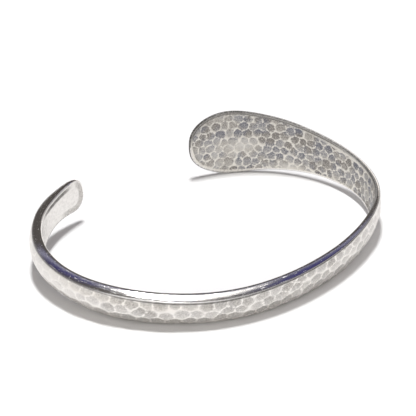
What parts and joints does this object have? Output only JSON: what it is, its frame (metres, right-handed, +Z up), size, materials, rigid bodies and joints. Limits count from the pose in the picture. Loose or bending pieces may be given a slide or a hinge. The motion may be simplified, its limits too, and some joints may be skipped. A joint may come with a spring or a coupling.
{
  "type": "spoon bangle",
  "caption": "Open oval wrist cuff forged from one strip of metal, wide and thin at its spoon-shaped end, narrow and thick round the front, with a small rounded far end.",
  "frame": {"origin": "middle of the part's box, on the surface that it lies on", "axes": "+X along the oval's long axis, from the small end towards the spoon-shaped end; +Y out through the gap between the ends; +Z up, out of the wrist hollow"},
  "size_m": [0.0654, 0.046, 0.0133],
  "materials": {
    "worn_silver": "solid sterling silver, both faces hammered all over with darkened hollows, edges rounded and polished bright with fine wear scratches"
  },
  "bodies": {
    "root": {"forged_cuff": "worn_silver"}
  },
  "joints": []
}
